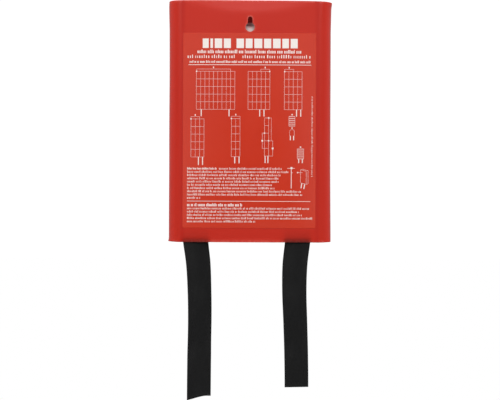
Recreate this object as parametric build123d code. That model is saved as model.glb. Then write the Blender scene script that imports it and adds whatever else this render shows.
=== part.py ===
"""Fire blanket: a 1 m square glass-fibre blanket, folded flat in a red PVC sleeve that hangs on one screw.

Millimetres. The origin is the centre of the round part of the rear keyhole, on the sleeve's back
face, which lies against the wall. +Z is up, +X is to the right and the front faces -Y.
"""

from build123d import *
import os

# Sleeve: one length of flattened PVC tube, open at its top and bottom
SLEEVE_WIDTH = 163.0
SLEEVE_DEPTH = 27.0
SLEEVE_HEIGHT = 241.5
SLEEVE_WALL = 1.2
SLEEVE_TOP = 26.35
SLEEVE_CENTRE_X = 0.1
MID_Y = -SLEEVE_DEPTH / 2
MOUTH_Z = SLEEVE_TOP - SLEEVE_HEIGHT

# Keyholes: the rear one hangs on the screw, and the front one, with a longer slot, lets a driver in
KEYHOLE_R = 4.5
SLOT_R = 2.35
REAR_SLOT_RISE = 5.5
FRONT_SLOT_RISE = 7.85

# Instruction label on the front wall
LABEL_WIDTH = 133.0
LABEL_HEIGHT = 195.0
LABEL_THICKNESS = 0.15
LABEL_TOP = -5.85
LABEL_CENTRE_X = -0.4
LABEL_CORNER_R = 1.0

# Blanket: a 1 m square, zigzag folded to 7 panels across and then to 5 packs high
BLANKET_SIDE = 1000.0
PANELS_ACROSS = 7
PACKS_DEEP = 5
LAYER_PITCH = 0.6
PACK_WIDTH = BLANKET_SIDE / PANELS_ACROSS
PACK_HEIGHT = BLANKET_SIDE / PACKS_DEEP
PACK_THICKNESS = PANELS_ACROSS * LAYER_PITCH
BLANKET_TOP = 2.0
BLANKET_BOTTOM = BLANKET_TOP - PACK_HEIGHT

# Pull tapes: 25 mm webbing, sewn to the blanket's lower hem and hanging out of the mouth
TAPE_WIDTH = 25.0
TAPE_THICKNESS = 1.0
SEWN_TOP = -162.0
THREAD = 0.3
THREAD_CLEARANCE = 0.3
TAPE_FRONT_Y = -SLEEVE_DEPTH + SLEEVE_WALL + THREAD_CLEARANCE + THREAD
TAPE_BACK_Y = TAPE_FRONT_Y + TAPE_THICKNESS
TAPE_MID_Y = TAPE_FRONT_Y + TAPE_THICKNESS / 2
BLANKET_FRONT_Y = TAPE_BACK_Y

# Each tail turns about a line across the tape, just under the mouth
HINGE_DROP = 1.2
HINGE_Z = MOUTH_Z - HINGE_DROP
HINGE_GAP = 0.3

# Middle line of each tape from its sewn top to its cut end: (x, z)
LEFT_TAPE = [
    (-55.7, SEWN_TOP),
    (-55.4, -198.75),
    (-53.4, -217.75),
    (-51.1, -235.75),
    (-49.6, -267.75),
    (-49.3, -292.75),
    (-49.7, -325.75),
    (-49.9, -371.55),
]
RIGHT_TAPE = [
    (51.0, SEWN_TOP),
    (50.5, -198.75),
    (48.2, -217.75),
    (46.1, -235.75),
    (45.4, -261.75),
    (46.6, -297.75),
    (47.5, -325.75),
    (48.0, -360.95),
]
# How much lower a tape's cut end is at its left side than at its right
LEFT_END_SLANT = 4.0
RIGHT_END_SLANT = 2.0

# Stitches
HEM_STITCH = 3.4
HEM_PITCH = 5.0
HEM_RISE = 8.0
BOX_STITCH_HALF = 9.0
BOX_STITCH_HEIGHT = 24.0
BOX_STITCH_Z = BLANKET_BOTTOM + 18.0
BOX_PITCH = 3.0
BOX_STITCH = 2.2


def tube_outline(width, depth):
    """A flattened tube's outline in plan: two straight walls and two half-round sides."""
    return Pos(SLEEVE_CENTRE_X, MID_Y) * SlotOverall(width, depth)


def keyhole(y_from, y_to, rise):
    """A round hole with a slot above it, whose round end is that far up, cut along Y."""
    outline = Circle(KEYHOLE_R)
    outline += Pos(0, rise) * Circle(SLOT_R)
    outline += Pos(0, rise / 2) * Rectangle(2 * SLOT_R, rise)
    return extrude(Plane.XZ.offset(-y_from) * outline, y_from - y_to)


def case_sleeve():
    """The extruded tube, open at both ends, with a keyhole through each of its flat walls."""
    section = tube_outline(SLEEVE_WIDTH, SLEEVE_DEPTH)
    section -= tube_outline(SLEEVE_WIDTH - 2 * SLEEVE_WALL, SLEEVE_DEPTH - 2 * SLEEVE_WALL)
    tube = Pos(0, 0, MOUTH_Z) * extrude(section, SLEEVE_HEIGHT)
    rear = keyhole(1.0, MID_Y, REAR_SLOT_RISE)
    front = keyhole(MID_Y, -SLEEVE_DEPTH - 1.0, FRONT_SLOT_RISE)
    return tube - rear - front


def instruction_label():
    """A self-adhesive vinyl label on the front wall."""
    face = RectangleRounded(LABEL_WIDTH, LABEL_HEIGHT, LABEL_CORNER_R)
    sheet = extrude(Plane.XZ * face, LABEL_THICKNESS)
    return Pos(LABEL_CENTRE_X, -SLEEVE_DEPTH, LABEL_TOP - LABEL_HEIGHT / 2) * sheet


def folded_blanket():
    """The folded pack from the side: packs turn over in pairs at the top and at the bottom.

    The lower hem is at the front, and the upper hem is at the back.
    """
    crest = PACK_THICKNESS
    front = BLANKET_FRONT_Y
    back = front + PACKS_DEEP * PACK_THICKNESS
    top = BLANKET_TOP - crest
    bottom = BLANKET_BOTTOM + crest
    edge = []
    for pair in range(PACKS_DEEP // 2):
        start = front + 2 * pair * crest
        edge.append(ThreePointArc((start, top), (start + crest, BLANKET_TOP), (start + 2 * crest, top)))
    edge.append(Line((back - crest, top), (back, top)))
    edge.append(Line((back, top), (back, bottom)))
    for pair in range(PACKS_DEEP // 2):
        start = back - 2 * pair * crest
        edge.append(
            ThreePointArc((start, bottom), (start - crest, BLANKET_BOTTOM), (start - 2 * crest, bottom))
        )
    edge.append(Line((front + crest, bottom), (front, bottom)))
    edge.append(Line((front, bottom), (front, top)))
    outline = make_face(edge)
    pack = extrude(Plane.YZ * outline, PACK_WIDTH)
    return Pos(SLEEVE_CENTRE_X - PACK_WIDTH / 2, 0, 0) * pack


def tape_blank(middle, end_slant):
    """A whole tape: its curved outline, as wide as the webbing, with the cut end's slant."""
    half = TAPE_WIDTH / 2
    left = [(x - half, z) for x, z in middle]
    right = [(x + half, z) for x, z in middle]
    left[-1] = (left[-1][0], left[-1][1] - end_slant / 2)
    right[-1] = (right[-1][0], right[-1][1] + end_slant / 2)
    edges = [
        Spline(*left, tangents=[(0, -1), (0, -1)]),
        Line(left[-1], right[-1]),
        Spline(*right, tangents=[(0, -1), (0, -1)]),
        Line(right[0], left[0]),
    ]
    strip = extrude(Plane.XZ * make_face(edges), TAPE_THICKNESS)
    return Pos(0, TAPE_BACK_Y, 0) * strip


def slab(z_low, z_high):
    """A wide block between two heights, to cut a tape with."""
    height = z_high - z_low
    return Pos(0, MID_Y, z_low + height / 2) * Box(2 * SLEEVE_WIDTH, 4 * SLEEVE_DEPTH, height)


def sewn_end(middle, end_slant):
    """The tape from its sewn top down to just above the hinge line."""
    return tape_blank(middle, end_slant) & slab(HINGE_Z + TAPE_THICKNESS / 2 + HINGE_GAP, SEWN_TOP + 1)


def middle_x(middle, end_slant, z):
    """The x of a tape's middle at a height, read from its solid."""
    thin = tape_blank(middle, end_slant) & slab(z - 0.05, z + 0.05)
    return thin.bounding_box().center().X


def tail(middle, end_slant):
    """The tape below the hinge line, with a round top edge that turns under the sewn end."""
    hanging = tape_blank(middle, end_slant) & slab(-2 * SLEEVE_HEIGHT, HINGE_Z)
    x = middle_x(middle, end_slant, HINGE_Z)
    round_top = Pos(x, TAPE_MID_Y, HINGE_Z) * Rot(0, 90, 0) * Cylinder(TAPE_THICKNESS / 2, TAPE_WIDTH)
    return hanging + round_top


def stitch(x, z, length, y_front, turn=0.0):
    """One stitch: a short bar of thread lying on a face that looks forwards."""
    bar = Box(length, THREAD, THREAD)
    return Pos(x, y_front - THREAD / 2, z) * Rot(0, turn, 0) * bar


def hem_stitching():
    """The row of stitches along the lower hem, where no tape covers it."""
    z = BLANKET_BOTTOM + PACK_THICKNESS + HEM_RISE
    count = int(PACK_WIDTH / HEM_PITCH) - 1
    covered = TAPE_WIDTH / 2 + HEM_STITCH
    bars = []
    for i in range(count):
        x = SLEEVE_CENTRE_X + (i - (count - 1) / 2) * HEM_PITCH
        if min(abs(x - LEFT_TAPE[1][0]), abs(x - RIGHT_TAPE[1][0])) > covered:
            bars.append(stitch(x, z, HEM_STITCH, BLANKET_FRONT_Y))
    return Compound(bars)


def tape_stitching(middle):
    """A box of stitches with one diagonal, which holds a tape to the hem."""
    x0 = middle[0][0]
    bars = []
    across = int(2 * BOX_STITCH_HALF / BOX_PITCH)
    for i in range(across):
        x = x0 + (i - (across - 1) / 2) * BOX_PITCH
        for side in (-1, 1):
            z = BOX_STITCH_Z + side * BOX_STITCH_HEIGHT / 2
            bars.append(stitch(x, z, BOX_STITCH, TAPE_FRONT_Y))
        z = BOX_STITCH_Z + (i - (across - 1) / 2) * BOX_STITCH_HEIGHT / across
        bars.append(stitch(x, z, BOX_STITCH, TAPE_FRONT_Y, -45))
    up = int(BOX_STITCH_HEIGHT / BOX_PITCH)
    for i in range(up):
        z = BOX_STITCH_Z + (i - (up - 1) / 2) * BOX_PITCH
        for side in (-1, 1):
            x = x0 + side * BOX_STITCH_HALF
            bars.append(stitch(x + side * BOX_PITCH / 3, z, BOX_STITCH, TAPE_FRONT_Y, 90))
    return Compound(bars)


def main():
    nodes = {
        "case_sleeve": case_sleeve(),
        "instruction_label": instruction_label(),
        "folded_blanket": folded_blanket(),
        "hem_stitching": hem_stitching(),
    }
    for side, middle, slant in (("left", LEFT_TAPE, LEFT_END_SLANT), ("right", RIGHT_TAPE, RIGHT_END_SLANT)):
        nodes[side + "_tape_sewn_end"] = sewn_end(middle, slant)
        nodes[side + "_tape_tail"] = tail(middle, slant)
        nodes[side + "_tape_stitching"] = tape_stitching(middle)
        print(side, "hinge x", round(middle_x(middle, slant, HINGE_Z), 2), "y", TAPE_MID_Y, "z", HINGE_Z)
    os.makedirs("parts", exist_ok=True)
    for name, shape in nodes.items():
        export_step(shape, f"parts/{name}.step")


main()
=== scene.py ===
"""The looks of a wall-hung fire blanket: a red PVC sleeve, its label, the folded cloth and two pull tapes.

Shapes are worked out in millimetres in the frame's own axes (+Z up, front towards -Y, the keyhole's
round hole at x 0, z 0) and scaled to metres when each mesh is made.
"""

import math
import random

import bmesh
import bpy
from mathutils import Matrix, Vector, noise


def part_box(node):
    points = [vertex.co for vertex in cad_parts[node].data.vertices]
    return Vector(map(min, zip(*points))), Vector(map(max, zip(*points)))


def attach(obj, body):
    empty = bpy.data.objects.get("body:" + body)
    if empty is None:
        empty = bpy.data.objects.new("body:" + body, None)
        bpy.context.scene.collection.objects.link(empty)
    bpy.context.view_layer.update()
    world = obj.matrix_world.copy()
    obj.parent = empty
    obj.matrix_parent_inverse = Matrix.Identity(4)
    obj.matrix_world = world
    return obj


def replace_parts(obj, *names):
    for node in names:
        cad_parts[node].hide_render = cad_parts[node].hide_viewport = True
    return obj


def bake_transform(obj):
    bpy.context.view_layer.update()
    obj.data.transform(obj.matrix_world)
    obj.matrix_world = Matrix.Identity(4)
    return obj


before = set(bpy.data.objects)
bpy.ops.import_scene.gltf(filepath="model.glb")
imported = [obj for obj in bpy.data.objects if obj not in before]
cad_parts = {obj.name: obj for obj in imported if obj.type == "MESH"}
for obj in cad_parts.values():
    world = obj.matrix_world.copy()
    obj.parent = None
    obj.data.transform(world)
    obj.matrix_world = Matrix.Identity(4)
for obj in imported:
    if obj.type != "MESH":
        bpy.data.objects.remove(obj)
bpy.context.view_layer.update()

MM = 0.001


def node_box(node):
    """A CAD node's lowest and highest corner, in millimetres."""
    low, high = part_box(node)
    return low / MM, high / MM


SLEEVE_LOW, SLEEVE_HIGH = node_box("case_sleeve")
MOUTH, TOP = SLEEVE_LOW.z, SLEEVE_HIGH.z
FRONT, BACK = SLEEVE_LOW.y, SLEEVE_HIGH.y
CENTRE_X = (SLEEVE_LOW.x + SLEEVE_HIGH.x) / 2
MID_Y = (FRONT + BACK) / 2
SIDE_R = (BACK - FRONT) / 2
HALF_FLAT = (SLEEVE_HIGH.x - SLEEVE_LOW.x) / 2 - SIDE_R
WALL = 1.2


# ---------- small tools


def smooth(value, low, high):
    """0 at low, 1 at high, and smooth between them."""
    t = min(1.0, max(0.0, (value - low) / (high - low)))
    return t * t * (3 - 2 * t)


def bump(value, centre, width):
    """A bell, 1 at the centre."""
    return math.exp(-(((value - centre) / width) ** 2))


def ramp(value, width):
    """0 well below 0 and equal to value well above it, with a soft corner that wide."""
    t = value / width
    return value if t > 30 else width * math.log1p(math.exp(t))


def wander(*place):
    """Smooth noise from about -1 to 1, the same each run."""
    x, y, z = (list(place) + [0.0, 0.0])[:3]
    return noise.noise(Vector((x + 0.37, y + 0.71, z + 0.19)))


def spline(points, at):
    """The x, at a height, of a smooth line through points given as (x, z), from the highest down."""
    spans = list(zip(points, points[1:]))
    slopes = [(b[0] - a[0]) / (b[1] - a[1]) for a, b in spans]
    tangents = [0.0] + [(m + n) / 2 for m, n in zip(slopes, slopes[1:])] + [0.0]
    for k, (a, b) in enumerate(spans):
        if at >= b[1] or k == len(spans) - 1:
            run = b[1] - a[1]
            t = min(1.0, max(0.0, (at - a[1]) / run))
            return (
                (2 * t**3 - 3 * t**2 + 1) * a[0]
                + (t**3 - 2 * t**2 + t) * run * tangents[k]
                + (3 * t**2 - 2 * t**3) * b[0]
                + (t**3 - t**2) * run * tangents[k + 1]
            )


class Mesh:
    """Points in millimetres and faces, which become one object."""

    def __init__(self):
        self.points = []
        self.faces = []
        self.uvs = {}
        self.marks = {}

    def point(self, x, y, z, uv=None, **marks):
        """Adds a point. Each mark is a number kept there under its name, for the material to read."""
        self.points.append((x, y, z))
        index = len(self.points) - 1
        if uv is not None:
            self.uvs[index] = uv
        for name, value in marks.items():
            self.marks.setdefault(name, {})[index] = value
        return index

    def strip(self, first, second, closed=False):
        """Quads between two rows of points."""
        count = len(first)
        for i in range(count if closed else count - 1):
            j = (i + 1) % count
            self.faces.append((first[i], first[j], second[j], second[i]))

    def object(self, name, material, warp=None, shade=True):
        """Makes the object, with its points moved by warp if that is given."""
        mesh = bpy.data.meshes.new(name)
        points = [warp(*p) for p in self.points] if warp else self.points
        mesh.from_pydata([Vector(p) * MM for p in points], [], self.faces)
        mesh.validate()
        if self.uvs:
            layer = mesh.uv_layers.new(name="UVMap")
            for loop in mesh.loops:
                layer.data[loop.index].uv = self.uvs[loop.vertex_index]
        for mark, values in self.marks.items():
            attribute = mesh.attributes.new(mark, "FLOAT", "POINT")
            attribute.data.foreach_set("value", [values.get(i, 0.0) for i in range(len(points))])
        mesh.polygons.foreach_set("use_smooth", [shade] * len(mesh.polygons))
        mesh.materials.append(material)
        thing = bpy.data.objects.new(name, mesh)
        bpy.context.scene.collection.objects.link(thing)
        outward(mesh)
        return thing


def outward(mesh):
    """Turns every face of a closed mesh to look outwards."""
    bm = bmesh.new()
    bm.from_mesh(mesh)
    bmesh.ops.recalc_face_normals(bm, faces=bm.faces)
    bm.to_mesh(mesh)
    bm.free()


# ---------- materials


class Shader:
    """A Principled material and the few node chains that its surfaces are made of."""

    def __init__(self, name, colour, roughness, **sockets):
        self.material = bpy.data.materials.new(name)
        self.material.use_nodes = True
        self.nodes = self.material.node_tree.nodes
        self.links = self.material.node_tree.links
        self.shader = self.nodes["Principled BSDF"]
        self.shader.inputs["Base Color"].default_value = (*colour, 1)
        self.shader.inputs["Roughness"].default_value = roughness
        for socket, value in sockets.items():
            self.shader.inputs[socket.replace("_", " ")].default_value = value
        self.bumps = None

    def add(self, kind, **settings):
        node = self.nodes.new("ShaderNode" + kind)
        for key, value in settings.items():
            setattr(node, key, value)
        return node

    def place(self, scale, source="Object"):
        """Coordinates on the piece, stretched by scale."""
        mapping = self.add("Mapping")
        mapping.inputs["Scale"].default_value = scale
        self.links.new(self.add("TexCoord").outputs[source], mapping.inputs["Vector"])
        return mapping.outputs["Vector"]

    def noise(self, scale, detail=3.0, source="Object"):
        node = self.add("TexNoise")
        node.inputs["Scale"].default_value = 1.0
        node.inputs["Detail"].default_value = detail
        self.links.new(self.place(scale, source), node.inputs["Vector"])
        return node.outputs["Fac"]

    def wave(self, scale, direction, source="UV"):
        node = self.add("TexWave", wave_type="BANDS", bands_direction=direction, wave_profile="SIN")
        node.inputs["Scale"].default_value = 1.0
        self.links.new(self.place(scale, source), node.inputs["Vector"])
        return node.outputs["Fac"]

    def range(self, value, low, high, to_low, to_high):
        node = self.add("MapRange")
        ends = {"From Min": low, "From Max": high, "To Min": to_low, "To Max": to_high}
        for socket, number in ends.items():
            node.inputs[socket].default_value = number
        self.links.new(value, node.inputs["Value"])
        return node.outputs["Result"]

    def math(self, operation, a, b):
        node = self.add("Math", operation=operation)
        for socket, value in zip(node.inputs, (a, b)):
            if isinstance(value, (int, float)):
                socket.default_value = value
            else:
                self.links.new(value, socket)
        return node.outputs["Value"]

    def attribute(self, name):
        return self.add("Attribute", attribute_name=name).outputs["Fac"]

    def tint(self, factor, colour):
        """The base colour, turned towards colour by a factor that varies over the surface."""
        node = self.add("Mix", data_type="RGBA")
        before = self.shader.inputs["Base Color"]
        if before.links:
            self.links.new(before.links[0].from_socket, node.inputs["A"])
        else:
            node.inputs["A"].default_value = before.default_value
        node.inputs["B"].default_value = (*colour, 1)
        self.links.new(factor, node.inputs["Factor"])
        self.links.new(node.outputs["Result"], before)

    def rough(self, value):
        self.links.new(value, self.shader.inputs["Roughness"])

    def bump(self, height, depth, strength=1.0):
        node = self.add("Bump")
        node.inputs["Distance"].default_value = depth * MM
        node.inputs["Strength"].default_value = strength
        self.links.new(height, node.inputs["Height"])
        if self.bumps:
            self.links.new(self.bumps, node.inputs["Normal"])
        self.bumps = node.outputs["Normal"]
        self.links.new(self.bumps, self.shader.inputs["Normal"])


PVC_RED = (0.484, 0.0180, 0.0065)
PVC_SCUFF_AND_HIGHLIGHT = (0.62, 0.105, 0.075)
PVC_SHADED = (0.462, 0.0145, 0.0050)
PVC_INSIDE_PAINTED_SHADE = (0.20, 0.010, 0.008)
PVC_CREASE_SHADE = (0.43, 0.0105, 0.0030)
PVC_SIDE_HIGHLIGHT = (0.56, 0.0150, 0.0035)
PVC_TAPE_SHADE = (0.03, 0.004, 0.004)
LABEL_RED = (0.518, 0.0258, 0.0062)
LABEL_FADED = (0.56, 0.034, 0.010)
INK_WHITE = (0.80, 0.74, 0.70)
INK_THIN = (0.76, 0.46, 0.42)
GLASS_WHITE = (0.80, 0.80, 0.77)
GLASS_GAPS = (0.62, 0.62, 0.60)
GLASS_WARM = (0.84, 0.83, 0.79)
GLASS_KEYHOLE_SHADE = (0.34, 0.035, 0.035)
WEBBING_BLACK = (0.0068, 0.0068, 0.0070)
WEBBING_CROWNS = (0.0125, 0.0125, 0.0127)
WEBBING_DUSTY = (0.016, 0.016, 0.016)
WEBBING_SEALED = (0.009, 0.009, 0.009)
HEM_THREAD = ((0.62, 0.61, 0.56), (0.82, 0.81, 0.76))
TAPE_THREAD = ((0.008, 0.008, 0.008), (0.03, 0.03, 0.03))


def pvc_material():
    """Extruded rigid PVC: satin, with faint draw lines along its length and pale scuffs at its cut ends.

    Painted light: it is redder round its sides as a painted highlight, and paler round its keyholes as
    scuffs
    with a painted highlight. Painted shade: it is darker inside, where its front turns into its sides, and
    over the tapes.
    """
    s = Shader("sleeve_pvc", PVC_RED, 0.36, Specular_IOR_Level=0.24)
    s.tint(s.range(s.noise((14, 14, 6)), 0.35, 0.65, 0.0, 0.6), PVC_SHADED)
    lines = s.noise((900, 900, 4), 2.0)
    s.tint(s.range(lines, 0.45, 0.75, 0.0, 0.25), PVC_SHADED)
    scuffs = s.range(s.noise((420, 420, 420), 4.0), 0.42, 0.62, 0.15, 1.0)
    # Paler where worn: scuffs at the cut ends, and round the keyholes scuffs with a painted highlight on
    # their edge.
    s.tint(s.math("MULTIPLY", s.attribute("wear"), scuffs), PVC_SCUFF_AND_HIGHLIGHT)
    # Painted shade: the inner face is darkened to stand in for the shadow inside the sleeve.
    s.tint(s.attribute("inner"), PVC_INSIDE_PAINTED_SHADE)
    # Painted shade: a dark line down the front where its flat turns into each rounded side.
    s.tint(s.attribute("creased"), PVC_CREASE_SHADE)
    # Painted highlight: the front half of each rounded side is a brighter red, as if lit from the side.
    s.tint(s.attribute("side"), PVC_SIDE_HIGHLIGHT)
    # Painted shade: the front wall darkens over each tape towards the mouth.
    s.tint(s.attribute("rubbed"), PVC_TAPE_SHADE)
    s.rough(s.range(s.noise((60, 60, 30)), 0.2, 0.8, 0.30, 0.36))
    s.bump(lines, 0.012)
    s.bump(s.noise((1100, 1100, 1100), 2.0), 0.012)
    return s.material


def label_material():
    """Printed vinyl film: the same red, a little paler, with a smoother satin face."""
    s = Shader("label_vinyl", LABEL_RED, 0.22, Specular_IOR_Level=0.42)
    s.tint(s.range(s.noise((25, 25, 25)), 0.35, 0.65, 0.0, 0.35), LABEL_FADED)
    s.tint(s.range(s.noise((300, 300, 300), 2.0), 0.4, 0.7, 0.0, 0.15), LABEL_FADED)
    s.rough(s.range(s.noise((90, 90, 90)), 0.2, 0.8, 0.16, 0.21))
    s.bump(s.noise((500, 500, 500), 2.0), 0.01)
    return s.material


def ink_material():
    """White screen ink, a little thin in places, so that the red shows through."""
    s = Shader("label_ink", INK_WHITE, 0.4, Specular_IOR_Level=0.4)
    s.tint(s.range(s.noise((1300, 1300, 1300), 3.0), 0.5, 0.75, 0.0, 0.35), INK_THIN)
    s.bump(s.noise((3000, 3000, 3000), 2.0), 0.004)
    return s.material


# Spacing of the glass cloth's yarns, and of the webbing's lengthwise ribs and its crossing picks
GLASS_THREAD_PITCH = 1.1
WEBBING_RIB = 1.25
WEBBING_PICK = 0.9


def bands(pitch):
    """The scale at which a wave node has one band to each pitch, on UVs in metres."""
    return 1000 * 2 * math.pi / pitch / 20


def glass_cloth_material():
    """White woven glass: a plain weave of flat shiny yarns, whiter on their crowns than between them.

    Behind the keyhole it is painted darker and redder, as painted shade and a painted red reflection.
    """
    s = Shader("glass_cloth", GLASS_WHITE, 0.62, Sheen_Weight=0.25, Sheen_Roughness=0.4)
    warps = s.wave((bands(GLASS_THREAD_PITCH), 1, 1), "X")
    wefts = s.wave((1, bands(GLASS_THREAD_PITCH), 1), "Y")
    weave = s.math("MULTIPLY", warps, wefts)
    s.tint(s.range(weave, 0.0, 0.45, 0.55, 0.0), GLASS_GAPS)
    s.tint(s.range(s.noise((30, 30, 30), 3.0, "UV"), 0.4, 0.7, 0.0, 0.4), GLASS_WARM)
    # Painted shade and painted red reflection on the cloth behind the keyhole.
    s.tint(s.attribute("stained"), GLASS_KEYHOLE_SHADE)
    s.bump(weave, 0.10)
    s.bump(s.noise((2500, 2500, 2500), 2.0, "UV"), 0.02)
    return s.material


def webbing_material():
    """Black flat webbing: lengthwise ribs crossed by fine picks, dull, with a smoother heat-sealed end."""
    s = Shader("tape_webbing", WEBBING_BLACK, 0.8, Sheen_Weight=0.02, Specular_IOR_Level=0.1)
    ribs = s.wave((bands(WEBBING_RIB), 1, 1), "X")
    picks = s.wave((1, bands(WEBBING_PICK), 1), "Y")
    weave = s.math("MULTIPLY", ribs, picks)
    s.tint(s.range(weave, 0.1, 0.7, 0.0, 0.8), WEBBING_CROWNS)
    s.tint(s.range(s.noise((60, 25, 60), 4.0, "UV"), 0.45, 0.75, 0.0, 0.5), WEBBING_DUSTY)
    s.tint(s.attribute("wear"), WEBBING_SEALED)
    s.rough(s.math("SUBTRACT", 0.74, s.math("MULTIPLY", s.attribute("wear"), 0.35)))
    s.bump(weave, 0.16)
    s.bump(s.noise((3500, 3500, 3500), 2.0, "UV"), 0.03)
    return s.material


def thread_material(name, colour, light):
    """Twisted sewing thread."""
    s = Shader(name, colour, 0.55, Sheen_Weight=0.2, Sheen_Roughness=0.4)
    twist = s.wave((2600, 900, 2600), "DIAGONAL", "Object")
    s.tint(s.range(twist, 0.2, 0.8, 0.0, 0.7), light)
    s.bump(twist, 0.04)
    return s.material


# ---------- the sleeve

KEYHOLE_R = 4.5
SLOT_R = 2.35
FRONT_SLOT_RISE = 7.85
REAR_SLOT_RISE = 5.5
KEYHOLE_RIM = 0.07
RIM_R = 0.4
CROWN = 1.5
# The walls' grid, and the patch of it that each keyhole's own mesh replaces
STEP = 2.0
SIDE_STEPS = 20
PATCH_X = 12.0
PATCH_LOW, PATCH_HIGH = -12.0, 20.0
# The middle of each tape where it leaves the mouth
TAPE_COLUMNS = (-53.7, 48.1)
TAPE_WIDTH = 25.0


def keyhole_distance(x, z, rise):
    """How far a point on a wall is from the edge of a keyhole with its slot's round end that far up."""
    to_slot = math.hypot(x, z - min(max(z, 0.0), rise)) - SLOT_R
    return min(math.hypot(x, z) - KEYHOLE_R, to_slot)


def crest_share(x):
    """1 in the middle of the front wall and 0 at its ends."""
    return max(0.0, 1 - ((x - CENTRE_X) / HALF_FLAT) ** 2)


def front_relief(x, z):
    """How far the front wall stands back from flat.

    The pack crowns it, its top edge leans back over a curved crease, and its mouth curls in at each tape.
    """
    across = crest_share(x)
    rise = smooth(z, MOUTH - 14, MOUTH + 46) * smooth(TOP - z, -8, 66)
    back = -CROWN * (1 - (1 - across) ** 1.6) * rise
    crest = TOP - 1.6 - 10.6 * across
    back += 0.36 * ramp(z - crest, 0.8) * (0.2 + 0.8 * across)
    for column in TAPE_COLUMNS:
        near = smooth(TAPE_WIDTH / 2 + 6 - abs(x - column), 0, 9)
        curl = 0.66 if column > 0 else 0.62
        back += near * (0.03 * ramp(MOUTH + 16.0 - z, 1.5) + curl * ramp(MOUTH + 3.6 - z, 1.1))
        back -= 0.4 * bump(x, column, 17.0) * smooth(MOUTH + 60 - z, 0, 50)
    middle = bump(x, CENTRE_X, 30.0)
    back -= middle * 0.3 * ramp(MOUTH + 2.2 - z, 0.4)
    return back


def warp(x, y, z):
    """Moves a point of the true tube to where the formed, used sleeve has it."""
    forward = smooth((MID_Y - y) / SIDE_R, 0.25, 1.0)
    lip = 0.16 * bump(keyhole_distance(x, z, FRONT_SLOT_RISE), 0.0, 0.8)
    y += forward * (front_relief(x, z) - lip)
    sideways = (x - CENTRE_X) / (HALF_FLAT + SIDE_R)
    right, left = smooth(sideways, 0.86, 1.0), smooth(-sideways, 0.86, 1.0)
    at_top = smooth(z, -5, 24)
    x += right * (0.7 * bump(z, TOP - 1.0, 3.0) + 0.4 * at_top + 0.65 * smooth(-z, 130, -MOUTH))
    x -= left * (0.6 * bump(z, MOUTH, 2.2) - 0.2 * bump(z, TOP, 2.5) + 0.55 * at_top)
    x += 0.2 * (right + left) * wander(z / 60, sideways * 3)
    z += smooth(z, TOP - 30, TOP) * (0.35 - 0.35 * sideways + 1.0 * forward * crest_share(x))
    z += bump(z, MOUTH, 4.0) * (0.5 * left + 0.35 * right)
    return x, y, z


def outline():
    """The tube's outer outline in plan, from the front's left edge round: (x, y, normal x, normal y)."""
    first, last = CENTRE_X - HALF_FLAT, CENTRE_X + HALF_FLAT
    columns = [first]
    columns += [STEP * k for k in range(math.ceil(first / STEP + 0.4), math.floor(last / STEP - 0.4) + 1)]
    columns += [last]
    angles = [math.pi * k / SIDE_STEPS for k in range(1, SIDE_STEPS)]
    turn = [(math.sin(a), math.cos(a)) for a in angles]
    ring = [(x, FRONT, 0.0, -1.0) for x in columns]
    ring += [(last + SIDE_R * sin, MID_Y - SIDE_R * cos, sin, -cos) for sin, cos in turn]
    ring += [(x, BACK, 0.0, 1.0) for x in reversed(columns)]
    ring += [(first - SIDE_R * sin, MID_Y + SIDE_R * cos, -sin, cos) for sin, cos in turn]
    return ring


def wall_section():
    """Up the outer face, over the top edge, down the inner face and under the bottom edge: (depth, z)."""
    low, high = math.ceil(MOUTH / STEP) * STEP, math.floor(TOP / STEP) * STEP
    heights = [MOUTH + RIM_R, MOUTH + 1.0]
    heights += [low + STEP * k for k in range(1, round((high - low) / STEP))]
    heights += [TOP - 1.0, TOP - RIM_R]
    bend = RIM_R * (1 - math.sqrt(0.5))
    over = [(bend, TOP - bend), (RIM_R, TOP), (WALL - RIM_R, TOP), (WALL - bend, TOP - bend)]
    under = [(depth, MOUTH + TOP - z) for depth, z in reversed(over)]
    section = [(0.0, z) for z in heights] + over
    section += [(WALL, z) for z in reversed(heights)] + under
    return section


def keyhole_outline(grow, rise):
    """A keyhole's edge, from its lowest point up its right side and down its left: 28 steps each."""
    round_r, slot_r = KEYHOLE_R + grow, SLOT_R + grow
    meet = math.asin(slot_r / round_r)
    half = []
    for k in range(17):
        a = (math.pi - meet) * k / 16
        half.append((round_r * math.sin(a), -round_r * math.cos(a)))
    start = half[-1][1]
    half += [(slot_r, start + (rise - start) * k / 7) for k in range(1, 8)]
    for k in range(1, 6):
        a = math.pi / 2 * k / 5
        half.append((slot_r * math.cos(a), rise + slot_r * math.sin(a)))
    half[-1] = (0.0, rise + slot_r)
    return half + [(-x, z) for x, z in reversed(half[1:-1])]


def patch_border():
    """The grid points round the keyhole's patch, one for each point of its outline and in the same order."""
    half = [(STEP * k, PATCH_LOW) for k in range(int(PATCH_X / STEP) + 1)]
    half += [(PATCH_X, PATCH_LOW + STEP * k) for k in range(1, int((PATCH_HIGH - PATCH_LOW) / STEP) + 1)]
    half += [(PATCH_X - STEP * k, PATCH_HIGH) for k in range(1, int(PATCH_X / STEP) + 1)]
    return half + [(-x, z) for x, z in reversed(half[1:-1])]


def in_patch(x, z):
    return abs(x) < PATCH_X and PATCH_LOW < z < PATCH_HIGH


def tape_shade_at(x, z):
    """How dark the painted shade over the tapes is on the front wall there, most at the mouth."""
    near = max(smooth(TAPE_WIDTH / 2 + 3 - abs(x - column), 0, 5) for column in TAPE_COLUMNS)
    most = 0.66 if x > CENTRE_X else 0.5
    return near * most * (0.28 * smooth(MOUTH + 16 - z, 0, 12) + 0.72 * smooth(MOUTH + 5.5 - z, 0, 5.5))


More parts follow.
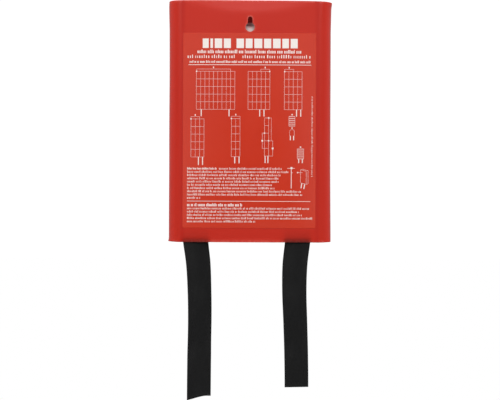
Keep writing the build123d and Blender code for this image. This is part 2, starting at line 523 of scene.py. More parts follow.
def sleeve():
    """The tube's wall as one closed mesh, with both keyholes punched through."""
    m = Mesh()
    ring, section = outline(), wall_section()
    grid, found = [], {}
    for x, y, nx, ny in ring:
        column = []
        for depth, z in section:
            near_end = max(bump(z, TOP, 1.2), bump(z, MOUTH, 1.2))
            side = smooth(abs(nx), 0.5, 1.0)
            # where the painted highlight on the rounded sides falls
            side_highlight = smooth(abs(nx), 0.35, 0.85) * smooth(-ny, -0.3, 0.1)
            index = m.point(
                x - nx * depth, y - ny * depth, z,
                wear=min(1.0, near_end * 0.9 + side * 0.1),
                # inner: the inner face, which the material darkens as painted shade
                inner=smooth(depth, RIM_R, WALL),
                side=side_highlight * (1 - smooth(depth, RIM_R, WALL)),
                # painted shade over the tapes, on the front
                rubbed=tape_shade_at(x, z) if ny < 0 else 0.0,
                # painted shade along the line where the flat front turns into the rounded side
                creased=bump(abs(x - CENTRE_X), HALF_FLAT - 0.5, 2.3) if ny < 0 else 0.0,
            )
            column.append(index)
            if nx == 0.0:
                found[(ny, depth, round(x, 3), round(z, 3))] = index
        grid.append(column)
    for i, first in enumerate(grid):
        second = grid[(i + 1) % len(grid)]
        flat = ring[i][2] == 0.0 and ring[(i + 1) % len(grid)][2] == 0.0
        for j in range(len(section)):
            k = (j + 1) % len(section)
            x = (ring[i][0] + ring[(i + 1) % len(grid)][0]) / 2
            z = (section[j][1] + section[k][1]) / 2
            if flat and section[j][0] == section[k][0] and in_patch(x, z):
                continue
            m.faces.append((first[j], second[j], second[k], first[k]))
    border = patch_border()
    for side, rise in ((-1.0, FRONT_SLOT_RISE), (1.0, REAR_SLOT_RISE)):
        edges = []
        for depth, inwards in ((0.0, 1.0), (WALL, -1.0)):
            surface = FRONT if side < 0 else BACK
            y = surface - side * depth
            rows = [[found[(side, depth, round(x, 3), round(z, 3))] for x, z in border]]
            hole = keyhole_outline(KEYHOLE_RIM, rise)
            for f in (0.78, 0.58, 0.4, 0.26, 0.15, 0.07, 0.03, 0.0):
                row = []
                for (bx, bz), (hx, hz) in zip(border, hole):
                    x, z = hx + (bx - hx) * f, hz + (bz - hz) * f
                    # paler round the keyhole: scuffs with a painted highlight on its edge
                    scuff_and_highlight = 0.8 * bump(keyhole_distance(x, z, rise), 0, 0.9)
                    row.append(m.point(x, y, z, wear=scuff_and_highlight, inner=float(depth > 0)))
                rows.append(row)
            inset = y - side * inwards * KEYHOLE_RIM
            rows.append([m.point(x, inset, z, wear=0.9) for x, z in keyhole_outline(0.0, rise)])
            for first, second in zip(rows, rows[1:]):
                m.strip(first, second, closed=True)
            edges.append(rows[-1])
        m.strip(edges[0], edges[1], closed=True)
    return m.object("sleeve", pvc_material(), warp)


# ---------- the label and its print

LABEL_LOW, LABEL_HIGH = node_box("instruction_label")
LABEL_FACE = LABEL_LOW.y
LABEL_CORNER = 1.0
LABEL_MARGIN = 0.3
LABEL_STEP = 2.5
INK = 0.05
PRINT_SEED = 7


def label():
    """A thin film on the front wall, with rounded corners."""
    width, height = LABEL_HIGH.x - LABEL_LOW.x, LABEL_HIGH.z - LABEL_LOW.z

    def stops(size):
        count = round(size / LABEL_STEP)
        inner = [size * k / count for k in range(1, count)]
        return [0.0, LABEL_MARGIN, LABEL_CORNER] + inner + [size - LABEL_CORNER, size - LABEL_MARGIN, size]

    def rounded(x, z):
        cx = min(max(x, LABEL_CORNER), width - LABEL_CORNER)
        cz = min(max(z, LABEL_CORNER), height - LABEL_CORNER)
        away = math.hypot(x - cx, z - cz)
        if away > LABEL_CORNER:
            x = cx + (x - cx) * LABEL_CORNER / away
            z = cz + (z - cz) * LABEL_CORNER / away
        return LABEL_LOW.x + x, LABEL_LOW.z + z

    m = Mesh()
    layers = []
    for y in (LABEL_FACE, FRONT - 0.01):
        rows = []
        for z in stops(height):
            row = []
            for x in stops(width):
                px, pz = rounded(x, z)
                row.append(m.point(px, y, pz))
            rows.append(row)
        layers.append(rows)
        for first, second in zip(rows, rows[1:]):
            m.strip(first, second)
    edges = []
    for rows in layers:
        edge = rows[0] + [r[-1] for r in rows[1:-1]] + rows[-1][::-1] + [r[0] for r in rows[-2:0:-1]]
        edges.append(edge)
    m.strip(edges[0], edges[1], closed=True)
    return m.object("label", label_material(), warp)


class Print:
    """White print on the label. Places are millimetres right of its left edge and down from its top."""

    def __init__(self):
        self.mesh = Mesh()
        self.random = random.Random(PRINT_SEED)

    def shape(self, corners):
        """A flat patch of ink with these corners, given as (right, down)."""
        top = [(LABEL_LOW.x + r, LABEL_FACE - INK, LABEL_HIGH.z - d) for r, d in corners]
        front = [self.mesh.point(*p) for p in top]
        back = [self.mesh.point(x, LABEL_FACE + INK / 2, z) for x, _, z in top]
        self.mesh.faces.append(tuple(front))
        self.mesh.faces.append(tuple(reversed(back)))
        self.mesh.strip(front, back, closed=True)

    def line(self, r0, d0, r1, d1, width=0.2):
        """A straight stroke, in pieces short enough to follow the wall."""
        length = math.hypot(r1 - r0, d1 - d0)
        ar, ad = (r1 - r0) / length, (d1 - d0) / length
        nr, nd = -ad * width / 2, ar * width / 2
        count = max(1, math.ceil(length / 4.0))
        for k in range(count):
            a, b = length * k / count, length * (k + 1) / count
            self.shape([
                (r0 + ar * a + nr, d0 + ad * a + nd),
                (r0 + ar * b + nr, d0 + ad * b + nd),
                (r0 + ar * b - nr, d0 + ad * b - nd),
                (r0 + ar * a - nr, d0 + ad * a - nd),
            ])

    def path(self, *corners):
        """Strokes from each corner to the next."""
        for (r0, d0), (r1, d1) in zip(corners, corners[1:]):
            self.line(r0, d0, r1, d1)

    def dashes(self, r0, d0, r1, d1, width=0.24, dash=0.75, gap=0.35):
        length = math.hypot(r1 - r0, d1 - d0)
        count = max(1, round(length / (dash + gap)))
        share = dash / (dash + gap)
        for k in range(count):
            a, b = k / count, (k + share) / count
            self.line(r0 + (r1 - r0) * a, d0 + (d1 - d0) * a, r0 + (r1 - r0) * b, d0 + (d1 - d0) * b, width)

    def dot(self, r, d, radius=0.75):
        turns = [2 * math.pi * k / 12 for k in range(12)]
        self.shape([(r + radius * math.cos(a), d + radius * math.sin(a)) for a in turns])

    def block(self, r, d, width, height):
        self.line(r, d + height / 2, r + width, d + height / 2, height)

    def words(self, r, d, length, cap, gap=0.33, down=False):
        """A line of greeked text: words of plain blocks, with no letters in them.

        cap is the tallest block's height. With down, the line runs down the label.
        """
        pick = self.random
        at = 0.0
        while True:
            for _ in range(pick.randint(2, 9)):
                width = cap * pick.uniform(0.16, 0.34)
                tall = cap * (1.0 if pick.random() < 0.25 else 0.72)
                if at + width > length:
                    return
                if down:
                    self.block(r, d + at, tall, width)
                else:
                    self.block(r + at, d + cap - tall, width, tall)
                at += width + cap * gap
            at += cap * 0.35

    def headline(self, r, d, widths, cap, gap):
        """Big greeked capitals: plain blocks."""
        for width in widths:
            self.block(r, d, width, cap)
            r += width + gap

    def grid(self, r, d, columns, pitch):
        """A blanket part-way through its folding: its outline, with fold lines whole and dashed in turn."""
        right, low = r + columns * pitch, d + FOLD_ROWS * FOLD_ROW
        for k in range(columns + 1):
            x = r + k * pitch
            if k == columns or k % 2 == 0:
                self.line(x, d, x, low)
            else:
                self.dashes(x, d, x, low)
        for k in range(FOLD_ROWS + 1):
            self.line(r, d + k * FOLD_ROW, right, d + k * FOLD_ROW)

    def bracket(self, r0, r1, low, dot_at):
        """Over the part that folds: a bracket, a dot on the edge that moves, and a mark for the step."""
        d = low - 2.3
        self.line(r0, d, r1, d)
        for r in (r0, r1):
            self.line(r, d, r, low)
        self.dot(dot_at, low)
        self.block((r0 + r1) / 2 - 0.5, d - 2.4, 1.0, 1.6)

    def tapes(self, places, d, length, width=0.9):
        """The pull tapes under a drawn blanket."""
        for r in places:
            self.line(r, d, r, d + length, width)

    def bundle(self, r, d, width, height):
        """The finished pack, ruled across by its folds."""
        for x in (r, r + width):
            self.line(x, d, x, d + height)
        for k in range(FOLD_ROWS + 1):
            self.line(r, d + height * k / FOLD_ROWS, r + width, d + height * k / FOLD_ROWS, 0.45)


def heading_print(p):
    """The headline, two lines under it, a small line and a rule."""
    p.headline(19.6, 5.7, (6.0, 2.6, 7.4, 7.0), 9.5, 1.7)
    p.headline(53.4, 5.7, (7.4, 6.8, 8.0, 7.2, 7.6, 6.6, 7.0), 9.5, 1.75)
    p.words(14.4, 16.9, 104, 3.5, gap=0.15)
    p.words(4.6, 21.9, 47, 3.3, gap=0.4)
    p.words(59.5, 21.9, 69, 3.3, gap=0.4)
    p.words(6.6, 27.6, 121, 2.4, gap=0.15)
    p.line(5.4, 31.9, 128.2, 31.9, 0.5)


FOLD_ROWS = 5
UPPER_STEPS_DOWN = 38.5
LOWER_STEPS_DOWN = 86.1
FOLD_ROW = 7.6


def folding_print(p):
    """Eight folding steps: the cloth goes from nine columns to one, and then up into a bundle."""
    down, low = UPPER_STEPS_DOWN, UPPER_STEPS_DOWN + FOLD_ROWS * FOLD_ROW
    p.grid(13.4, down, 9, 4.27)
    p.bracket(13.6, 47.4, down, 13.6)
    p.tapes((18.4, 46.2), low, 6.9)
    p.grid(65.1, down, 5, 4.35)
    p.bracket(77.7, 86.6, down, 86.6)
    p.tapes((76.8, 81.1), low, 6.9)
    p.grid(101.4, down, 4, 4.4)
    p.bracket(101.6, 110.6, down, 101.6)
    p.tapes((113.6, 117.8), low, 6.9)
    down, low = LOWER_STEPS_DOWN, LOWER_STEPS_DOWN + FOLD_ROWS * FOLD_ROW
    p.grid(8.2, down, 3, 4.35)
    p.bracket(8.2, 16.7, down, 8.2)
    p.tapes((15.8, 19.9), low, 8.0)
    p.grid(48.6, down - 0.4, 2, 4.3)
    p.bracket(48.6, 57.2, down - 0.4, 48.6)
    p.tapes((52.1, 56.4), low - 0.4, 6.6)
    rolling_print(p, down - 1.2)
    bundles_print(p)


def rolling_print(p, down):
    """One column with its folds turned over to the left and to the right, in turn."""
    column, side, left, right = 81.7, 88.5, 79.5, 89.9
    edge = column + 4.1
    p.grid(column, down, 1, 4.1)
    p.line(edge, down, side, down)
    p.dashes(side, down, side, down + 3 * FOLD_ROW)
    for x, near, first in ((left, column, 2), (right, edge, 3)):
        top, bottom = down + first * FOLD_ROW, down + (first + 2) * FOLD_ROW
        p.line(x, top, x, bottom)
        for d in (top, bottom):
            p.line(x, d, near, d)
        p.dot(x, (top + bottom) / 2, 1.0)
        p.dot(near, top)
    p.dot(edge, down)
    p.tapes((82.4, 85.2), down + FOLD_ROWS * FOLD_ROW, 7.0)


def bundles_print(p):
    """The finished bundle, its cover, and the bundle in its cover."""
    p.bundle(106.0, 83.4, 6.0, 9.4)
    p.dot(109.2, 81.5)
    p.dot(109.2, 94.9, 0.7)
    for r in (106.8, 111.4):
        p.line(r, 97.6, r, 102.8)
    p.path((106.8, 97.6), (108.0, 96.5), (110.2, 96.5), (111.4, 97.6))
    p.tapes((107.5, 110.8), 102.6, 4.4)
    p.bundle(114.5, 115.8, 6.4, 9.8)
    p.dot(117.7, 113.9)
    p.tapes((116.0, 119.6), 125.6, 4.2)


def hanging_print(p):
    """How it hangs: a screw on its line, and the sleeve going onto the screw."""
    p.dot(108.8, 134.9, 1.2)
    p.line(104.6, 135.1, 112.2, 135.1, 0.35)
    p.line(108.6, 136.0, 108.6, 155.2, 0.6)
    p.line(108.6, 139.4, 110.0, 139.4, 0.35)
    p.dot(115.0, 139.3, 0.7)
    p.line(115.0, 139.3, 119.8, 139.3)
    p.path((117.8, 136.6), (123.6, 137.8), (123.6, 151.0), (117.8, 149.4), (117.8, 136.6))
    p.path((117.8, 136.6), (119.4, 136.0), (125.4, 137.3), (125.4, 150.4), (123.6, 151.0))
    p.line(119.2, 150.0, 118.4, 155.0, 0.9)
    p.line(122.0, 150.8, 121.2, 155.6, 0.9)


BODY_DOWN = 134.5
CARE_DOWN = 174.3
LINE_PITCH = 3.25
TEXT_CAP = 2.1
BODY_LENGTHS = (95, 101, 94, 91, 92, 85, 88, 114, 115, 14)
CARE_LENGTHS = (123, 112, 115, 125, 69)


def body_print(p):
    """Two blocks of small greeked text, a rule and a bold line between them, and one line up the side."""
    p.words(4.6, BODY_DOWN, 30, TEXT_CAP, gap=0.12)
    p.words(36.5, BODY_DOWN, BODY_LENGTHS[0] - 32, TEXT_CAP)
    for k, length in enumerate(BODY_LENGTHS[1:], 1):
        p.words(4.6, BODY_DOWN + LINE_PITCH * k, length, TEXT_CAP)
    p.line(4.6, 168.2, 127.8, 168.2, 0.4)
    p.words(4.6, 170.3, 55, 3.1, gap=0.13)
    for k, length in enumerate(CARE_LENGTHS):
        p.words(4.6, CARE_DOWN + LINE_PITCH * k, length, TEXT_CAP)
    p.words(128.6, 63.4, 80.5, 1.5, gap=0.5, down=True)


def label_print():
    """All of the label's print, as one mesh."""
    p = Print()
    heading_print(p)
    folding_print(p)
    hanging_print(p)
    body_print(p)
    return p.mesh.object("label_print", ink_material(), warp, shade=False)


# ---------- the folded cloth

PACK_LOW, PACK_HIGH = node_box("folded_blanket")
# The 1 m square is folded zigzag to 7 panels across, and then to 5 packs
PANELS, PACKS = 7, 5
CLOTH = 0.36
PACK_T = (PACK_HIGH.y - PACK_LOW.y) / PACKS
LAYER = PACK_T / PANELS
PANEL_STEPS, TURN_STEPS = 14, 4
LENGTH_STEPS, CREST_STEPS = 22, 8
TOP_HEM_RISE = 5.5
HEM_HEIGHT = 14.0
HEM_COLUMNS = 60
# The turned-up hem in section: (height over the cloth's edge, how far it stands off the front face)
HEM_SECTION = ((HEM_HEIGHT, 0.02), (HEM_HEIGHT, 0.2), (HEM_HEIGHT - 0.6, 0.24), (7.0, 0.22),
               (0.6, 0.24), (-0.25, 0.16), (-0.3, -0.2), (0.0, -0.22))


def panel_line():
    """Across the cloth: (share of the panel's width, depth in the pack, panel, share of the cloth)."""
    places = []
    for k in range(PANELS):
        for i in range(PANEL_STEPS + 1):
            a = i / PANEL_STEPS
            places.append((a if k % 2 == 0 else 1 - a, (k + 0.5) * LAYER, k + a, (k + a) / PANELS))
        if k < PANELS - 1:
            side = 1 if k % 2 == 0 else 0
            for i in range(1, TURN_STEPS):
                t = math.pi * i / TURN_STEPS
                out = math.sin(t) * LAYER / 2 / (PACK_HIGH.x - PACK_LOW.x)
                places.append((
                    side + (out if side else -out),
                    (k + 1 - math.cos(t) / 2) * LAYER,
                    k + 1,
                    (k + 1) / PANELS,
                ))
    return places


def pack_line(depth):
    """Down the cloth for one layer that deep in its pack: (y, z, share of the cloth)."""
    low, high = PACK_LOW.z + PACK_T, PACK_HIGH.z - PACK_T
    places = []
    for k in range(PACKS):
        near = depth if k % 2 == 0 else PACK_T - depth
        y = PACK_LOW.y + k * PACK_T + near
        ends = [low, high]
        if k == 0:
            ends[0] = PACK_LOW.z
        if k == PACKS - 1:
            ends[1] = PACK_HIGH.z
        if k % 2:
            ends.reverse()
        for i in range(LENGTH_STEPS + 1):
            a = i / LENGTH_STEPS
            places.append((y, ends[0] + (ends[1] - ends[0]) * a, (k + 0.98 * a) / PACKS))
        if k < PACKS - 1:
            middle = PACK_LOW.y + (k + 1) * PACK_T
            radius = middle - y
            for i in range(1, CREST_STEPS):
                t = math.pi * i / CREST_STEPS
                rise = radius * math.sin(t) * (1 if k % 2 == 0 else -1)
                share = (k + 0.98 + 0.02 * i / CREST_STEPS) / PACKS
                places.append((middle - radius * math.cos(t), ends[1] + rise, share))
    return places


def cloth_place(across, fold, y, z, share):
    """Where a point of the cloth lies, with the folds a little uneven and the hems a little proud."""
    width = PACK_HIGH.x - PACK_LOW.x
    x = PACK_LOW.x + width * across
    slip = wander(math.floor(fold) * 3.1, share * 9) * (1 - fold % 1)
    slip += wander(math.floor(fold) * 3.1 + 3.1, share * 9) * (fold % 1)
    x += 1.1 * slip
    edge_low = 1 - smooth(share * PACKS, 0.0, 0.12)
    edge_high = smooth(share * PACKS, PACKS - 0.15, PACKS)
    z += edge_low * 1.2 * wander(fold * 1.3, 4.0)
    z += edge_high * (TOP_HEM_RISE * bump(x, 0, 30) + 1.2 * wander(fold * 1.3, 9.0))
    z += 0.9 * wander(x / 45, 2.0) * smooth(abs(z - (PACK_LOW.z + PACK_HIGH.z) / 2), 60, 100)
    y += 0.38 + 0.2 * wander(x / 35, z / 45, 1.0) + 0.16 * wander(x / 8, z / 50, 5.0)
    return x, y, z


def stain(x, z):
    """How much painted shade the cloth has there, behind the keyhole: most at its top edge."""
    return bump(x, 0, 8) * (0.88 * smooth(z, -6.5, 3.0) + 0.12 * smooth(z, 2.0, 4.0))


def blanket():
    """One square sheet, folded zigzag to seven panels across and then to five packs."""
    m = Mesh()
    rows = []
    for across, depth, fold, s in panel_line():
        row = []
        for y, z, t in pack_line(depth):
            place = cloth_place(across, fold, y, z, t)
            # the painted shade behind the keyhole
            row.append(m.point(*place, uv=(s, t), stained=stain(place[0], place[2])))
        rows.append(row)
    for first, second in zip(rows, rows[1:]):
        m.strip(first, second)
    sheet = m.object("glass_cloth", glass_cloth_material())
    thicken(sheet, CLOTH)
    return sheet


def hem_place(across, rise):
    """A point on the front layer of the cloth, at a share of its width and a height over its hem."""
    share = rise / (PACK_HIGH.z - PACK_LOW.z) / PACKS
    return cloth_place(across, across, PACK_LOW.y + LAYER / 2, PACK_LOW.z + rise, share)


def hem_strip():
    """The lower hem: the cloth turned up once over its front, with its raw edge inside."""
    m = Mesh()
    rows = []
    for i in range(HEM_COLUMNS + 1):
        across = i / HEM_COLUMNS
        row = []
        for rise, away in HEM_SECTION:
            x, y, z = hem_place(across, rise)
            row.append(m.point(x, y - CLOTH / 2 - away, z, uv=(across / PANELS, rise * MM)))
        for rise in (0.3, HEM_HEIGHT):
            row.append(m.point(*hem_place(across, rise), uv=(across / PANELS, rise * MM)))
        rows.append(row)
    for first, second in zip(rows, rows[1:]):
        m.strip(first, second, closed=True)
    m.faces.append(tuple(rows[0]))
    m.faces.append(tuple(reversed(rows[-1])))
    return m.object("hem", glass_cloth_material())


def thicken(thing, thickness):
    """Gives a sheet its thickness, half to each side."""
    solid = thing.modifiers.new("thickness", "SOLIDIFY")
    solid.thickness = thickness * MM
    solid.offset = 0.0
    bpy.context.view_layer.objects.active = thing
    bpy.ops.object.modifier_apply(modifier=solid.name)
    outward(thing.data)


# ---------- the pull tapes

TAPE_THICKNESS = 1.0
TAPE_SETBACK = 2.6
SEWN_LOW, SEWN_HIGH = node_box("left_tape_sewn_end")
TAPE_Y = (SEWN_LOW.y + SEWN_HIGH.y) / 2
TAPE_TOP = SEWN_HIGH.z
HINGE_DROP = 1.2
HINGE_Z = MOUTH - HINGE_DROP
# Middle line of each tape, from its sewn top to its cut end: (x, z)
LEFT_TAPE = [(-55.7, -162.0), (-55.4, -198.75), (-53.4, -217.75), (-51.1, -235.75),
             (-49.6, -267.75), (-49.3, -292.75), (-49.7, -325.75), (-49.9, -371.55)]
RIGHT_TAPE = [(51.0, -162.0), (50.5, -198.75), (48.2, -217.75), (46.1, -235.75),
              (45.4, -261.75), (46.6, -297.75), (47.5, -325.75), (48.0, -360.95)]
TAPE_ROWS = 110
TAPE_ACROSS = 20


def tape(name, middle, end_at, twist, bow, material):
    """Webbing from its sewn top to its cut end, turned and bowed a little once it hangs free.

    end_at(a) is the height of the cut end at a, which goes from -1 at the left edge to 1 at the right.
    """
    rows_down, across = TAPE_ROWS, TAPE_ACROSS
    half, thick = TAPE_WIDTH / 2, TAPE_THICKNESS / 2
    loop = [(-1 + 2 * k / across, 1.0) for k in range(across + 1)]
    loop += [(1.0, 0.0)]
    loop += [(a, -b) for a, b in reversed(loop[:across + 1])]
    loop += [(-1.0, 0.0)]
    m = Mesh()
    rows = []
    for j in range(rows_down + 1):
        row = []
        for a, b in loop:
            z = TAPE_TOP + (end_at(a) - TAPE_TOP) * j / rows_down
            free = smooth(MOUTH - z, -2.0, 70.0)
            angle = math.radians(twist(z))
            selvedge = smooth(abs(a), 0.86, 0.97)
            edge = 1.0 - 0.55 * smooth(abs(a), 0.985, 1.0)
            sealed = smooth(j, rows_down - 2.5, rows_down)
            depth = b * thick * (0.86 + 0.24 * selvedge) * edge * (1 + 0.25 * sealed)
            wide = a * half if b else a * (half + 0.22)
            x = spline(middle, z) + wide * math.cos(angle) + depth * math.sin(angle)
            under = smooth(PACK_LOW.z - z, 0.0, PACK_LOW.z - MOUTH)
            y = TAPE_Y + TAPE_SETBACK * under + bow(z) * free
            y += wide * math.sin(angle) - depth * math.cos(angle)
            row.append(m.point(x, y, z, uv=(a * half * MM, z * MM), wear=sealed))
        rows.append(row)
        if j:
            m.strip(rows[-2], row, closed=True)
    for row in (rows[0], rows[-1]):
        count = across + 1
        for k in range(across):
            m.faces.append((row[k], row[k + 1], row[2 * count - 1 - k], row[2 * count - k]))
        m.faces.append((row[across], row[across + 1], row[across + 2]))
        m.faces.append((row[0], row[2 * count + 1], row[2 * count]))
    return m.object(name, material)


def left_end(a):
    """The left tape's cut: nearly level, then slanting down to its left corner."""
    return -369.65 - 0.45 * a - 4.1 * max(0.0, (0.45 - a) / 1.45) ** 1.2 + 0.12 * wander(a * 9)


def right_end(a):
    """The right tape's cut: straight, a little lower at its left."""
    return -360.45 + 1.0 * a + 0.12 * wander(a * 8, 3.0)


def turned(z, most, start, length):
    """Degrees that a hanging tape has turned at a height: it settles to most as it leaves the mouth."""
    return most * (1 - math.exp(min(0.0, z - MOUTH - start) / length))


def left_twist(z):
    """Its right edge turns back, and a little less near its end."""
    return turned(z, 24.4, 5.0, 22.0) - 2.2 * smooth(MOUTH - z, 95, 115)


def right_twist(z):
    """Its left edge turns back, more slowly."""
    return -turned(z, 23.0, 4.0, 34.0)


def left_bow(z):
    """How far back the left tape hangs."""
    return 1.6 * math.sin((MOUTH - z) / 48.0)


def right_bow(z):
    return -1.4 * math.sin((MOUTH - z) / 42.0)


# ---------- stitches


def stitch_line(m, points, radius=0.2):
    """Stitches between places on a line: each is a short thread that rises from the cloth and dips."""
    sides = 6
    for a, b in zip(points, points[1:]):
        a, b = Vector(a), Vector(b)
        along = b - a
        side = along.cross(Vector((0, -1, 0))).normalized()
        rings = []
        for k, t in enumerate((0.08, 0.2, 0.5, 0.8, 0.92)):
            lift = (0.0, 0.12, 0.2, 0.12, 0.0)[k]
            size = radius * (0.55, 0.95, 1.0, 0.95, 0.55)[k]
            centre = a + along * t + Vector((0, -lift, 0))
            ring = []
            for i in range(sides):
                turn = 2 * math.pi * i / sides
                place = centre + side * math.cos(turn) * size + Vector((0, -1, 0)) * math.sin(turn) * size
                ring.append(m.point(*place))
            rings.append(ring)
        for first, second in zip(rings, rings[1:]):
            m.strip(first, second, closed=True)
        m.faces.append(tuple(rings[0]))
        m.faces.append(tuple(rings[-1]))


# Hem stitches: their length and their row's height. Box stitches: the box, and their length
HEM_PITCH = 5.0
HEM_ROW = 12.2
BOX_HALF = 9.0
BOX_HEIGHT = 24.0
BOX_Z = -180.0
BOX_PITCH = 3.0


def evenly(a, b, pitch):
    """Points from a to b, about that far apart."""
    a, b = Vector(a), Vector(b)
    count = max(1, round((b - a).length / pitch))
    return [a.lerp(b, k / count) for k in range(count + 1)]


def hem_stitches():
    """One row along the hem, where no tape covers it."""
    m = Mesh()
    width = PACK_HIGH.x - PACK_LOW.x
    left, right = LEFT_TAPE[1][0] + TAPE_WIDTH / 2 + 1.5, RIGHT_TAPE[1][0] - TAPE_WIDTH / 2 - 1.5
    places = []
    for x, _, _ in evenly((left, 0, 0), (right, 0, 0), HEM_PITCH):
        px, y, z = hem_place((x - PACK_LOW.x) / width, HEM_ROW)
        places.append((px, y - CLOTH / 2 - 0.24, z))
    stitch_line(m, places, 0.22)
    return m.object("hem_stitches", thread_material("hem_thread", *HEM_THREAD))


def box_stitches(name, x):
    """A box of stitches with one diagonal, through the tape and the cloth."""
    m = Mesh()
    y = TAPE_Y - TAPE_THICKNESS / 2 * 0.86
    low, high = BOX_Z - BOX_HEIGHT / 2, BOX_Z + BOX_HEIGHT / 2
    left, right = x - BOX_HALF, x + BOX_HALF
    corners = [(left, y, low), (right, y, low), (right, y, high), (left, y, high)]
    for a, b in zip(corners, corners[1:] + corners[:1]):
        stitch_line(m, evenly(a, b, BOX_PITCH), 0.24)
    stitch_line(m, evenly(corners[3], corners[1], BOX_PITCH), 0.24)
    return m.object(name, thread_material(name + "_thread", *TAPE_THREAD))


# ---------- room, lights and camera

# The camera's distance from the front wall, and the width of what it sees there
CAMERA_AWAY = 1200.0
CAMERA_X = 0.6
CAMERA_Z = -172.75
CAMERA_ROLL = math.radians(-0.25)
SENSOR = 36.0
FRAME_WIDTH = 500.0
FLOOR_Z = -520.0
FLOOR_REACH = 6000.0


def camera():
    """A long lens, square on to the front and level with the middle of the frame."""
    data = bpy.data.cameras.new("camera")
    data.sensor_width = SENSOR
    data.lens = SENSOR * CAMERA_AWAY / FRAME_WIDTH
    data.clip_end = 50
    thing = bpy.data.objects.new("camera", data)
    thing.location = Vector((CAMERA_X, FRONT - CAMERA_AWAY, CAMERA_Z)) * MM
    thing.rotation_euler = (math.pi / 2, CAMERA_ROLL, 0)
    bpy.context.scene.collection.objects.link(thing)
    bpy.context.scene.camera = thing


def area_light(name, place, target, size, power):
    """A soft box that faces target. Metres and watts."""
    data = bpy.data.lights.new(name, "AREA")
    data.shape = "RECTANGLE"
    data.size, data.size_y = size
    data.energy = power
    thing = bpy.data.objects.new(name, data)
    thing.location = place
    thing.rotation_euler = (Vector(target) - Vector(place)).to_track_quat("-Z", "Y").to_euler()
    bpy.context.scene.collection.objects.link(thing)


def for_the_eye(nodes, links, lit, seen):
    """A shader that lights the object as one thing and is seen behind it as another, plain white one."""
    mix = nodes.new("ShaderNodeMixShader")
    links.new(nodes.new("ShaderNodeLightPath").outputs["Is Camera Ray"], mix.inputs["Fac"])
    links.new(lit.outputs[0], mix.inputs[1])
    links.new(seen.outputs[0], mix.inputs[2])
    return mix.outputs["Shader"]


# How bright the room is, by the share of a half turn away from straight in front of the object:
# dim where the photographer stands, bright in the ring round them, and even further out
ROOM = ((0.0, 0.06), (0.028, 0.14), (0.045, 0.82), (0.06, 1.02), (0.085, 0.95), (0.11, 0.55),
        (0.15, 0.28), (0.2, 0.3), (0.3, 0.6), (0.467, 1.15), (0.683, 0.72), (1.0, 0.8))


def stops_node(nodes, stops):
    """A ramp of greys."""
    node = nodes.new("ShaderNodeValToRGB")
    for k, (place, level) in enumerate(stops):
        stop = node.color_ramp.elements[k] if k < 2 else node.color_ramp.elements.new(place)
        stop.position = place
        stop.color = (level, level, level, 1)
    return node


def room_light(nodes, links):
    """The brightness of the room in each direction."""

    def step(operation, *values):
        node = nodes.new("ShaderNodeMath")
        node.operation = operation
        for socket, value in zip(node.inputs, values):
            if isinstance(value, float):
                socket.default_value = value
            else:
                links.new(value, socket)
        return node.outputs["Value"]

    split = nodes.new("ShaderNodeSeparateXYZ")
    links.new(nodes.new("ShaderNodeTexCoord").outputs["Generated"], split.inputs["Vector"])
    turn = step("DIVIDE", step("ARCCOSINE", step("MULTIPLY", split.outputs["Y"], -1.0)), math.pi)
    around = stops_node(nodes, ROOM)
    links.new(turn, around.inputs["Fac"])
    ceiling = stops_node(nodes, ((0.0, 1.0), (0.5, 1.0), (0.85, 0.45)))
    links.new(step("ABSOLUTE", split.outputs["Z"]), ceiling.inputs["Fac"])
    return step("MULTIPLY", around.outputs["Color"], ceiling.outputs["Color"])


# Soft boxes: name, place, size and power
SOFT_BOXES = (
    ("top_box", (0.0, -3.0, 3.6), (4.2, 1.5), 58.0),
    ("left_box", (-1.9, -4.1, 2.2), (1.8, 1.8), 72.0),
    ("right_box", (1.9, -4.1, 2.2), (1.8, 1.8), 72.0),
    ("back_box", (0.6, 3.0, 2.0), (2.4, 1.6), 36.0),
)
LIGHTS_FACE = (0, 0, -0.15)


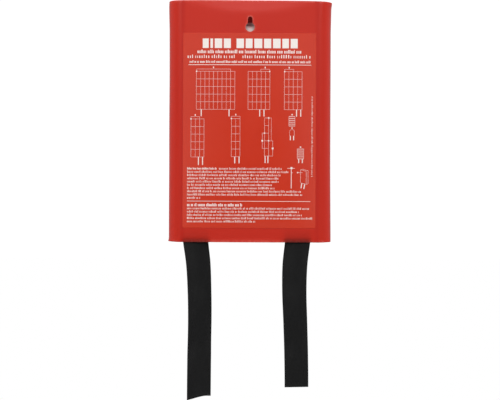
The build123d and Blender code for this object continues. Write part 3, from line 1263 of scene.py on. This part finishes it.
def room():
    """A white room, with a soft box over each shoulder, one above and one behind."""
    for name, place, size, power in SOFT_BOXES:
        area_light(name, place, LIGHTS_FACE, size, power)
    world = bpy.data.worlds.new("world")
    bpy.context.scene.world = world
    world.use_nodes = True
    nodes, links = world.node_tree.nodes, world.node_tree.links
    lit = nodes["Background"]
    links.new(room_light(nodes, links), lit.inputs["Strength"])
    lit.inputs["Color"].default_value = (1, 1, 1, 1)
    seen = nodes.new("ShaderNodeBackground")
    seen.inputs["Color"].default_value = (1, 1, 1, 1)
    seen.inputs["Strength"].default_value = 1.05
    links.new(for_the_eye(nodes, links, lit, seen), nodes["World Output"].inputs["Surface"])
    bpy.context.scene.view_settings.view_transform = "Standard"


def floor():
    """A pale floor, well below the tapes' ends."""
    m = Mesh()
    sides = ((-1, -1), (1, -1), (1, 1), (-1, 1))
    m.faces.append(tuple(m.point(x * FLOOR_REACH, y * FLOOR_REACH, FLOOR_Z) for x, y in sides))
    s = Shader("floor", (0.4, 0.4, 0.4), 0.9, Specular_IOR_Level=0.2)
    seen = s.nodes.new("ShaderNodeEmission")
    seen.inputs["Strength"].default_value = 1.0
    s.links.new(for_the_eye(s.nodes, s.links, s.shader, seen), s.nodes["Material Output"].inputs["Surface"])
    m.object("floor", s.material)


# ---------- putting it together


def main():
    camera()
    room()
    floor()
    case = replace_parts(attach(sleeve(), "case"), "case_sleeve")
    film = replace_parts(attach(label(), "case"), "instruction_label")
    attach(label_print(), "case")
    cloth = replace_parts(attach(blanket(), "blanket"), "folded_blanket")
    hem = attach(hem_strip(), "blanket")
    hem_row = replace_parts(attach(hem_stitches(), "blanket"), "hem_stitching")
    black = webbing_material()
    for side, middle, end, twist, bow in (
        ("left", LEFT_TAPE, left_end, left_twist, left_bow),
        ("right", RIGHT_TAPE, right_end, right_twist, right_bow),
    ):
        strap = tape(side + "_pull_tape", middle, end, twist, bow, black)
        x = spline(middle, HINGE_Z) * MM
        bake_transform(strap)
        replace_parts(strap, side + "_tape_sewn_end", side + "_tape_tail")
        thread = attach(box_stitches(side + "_box_stitches", middle[0][0]), "blanket")
        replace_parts(thread, side + "_tape_stitching")
        (TAPE_TOP - end(0.0)) * MM


main()
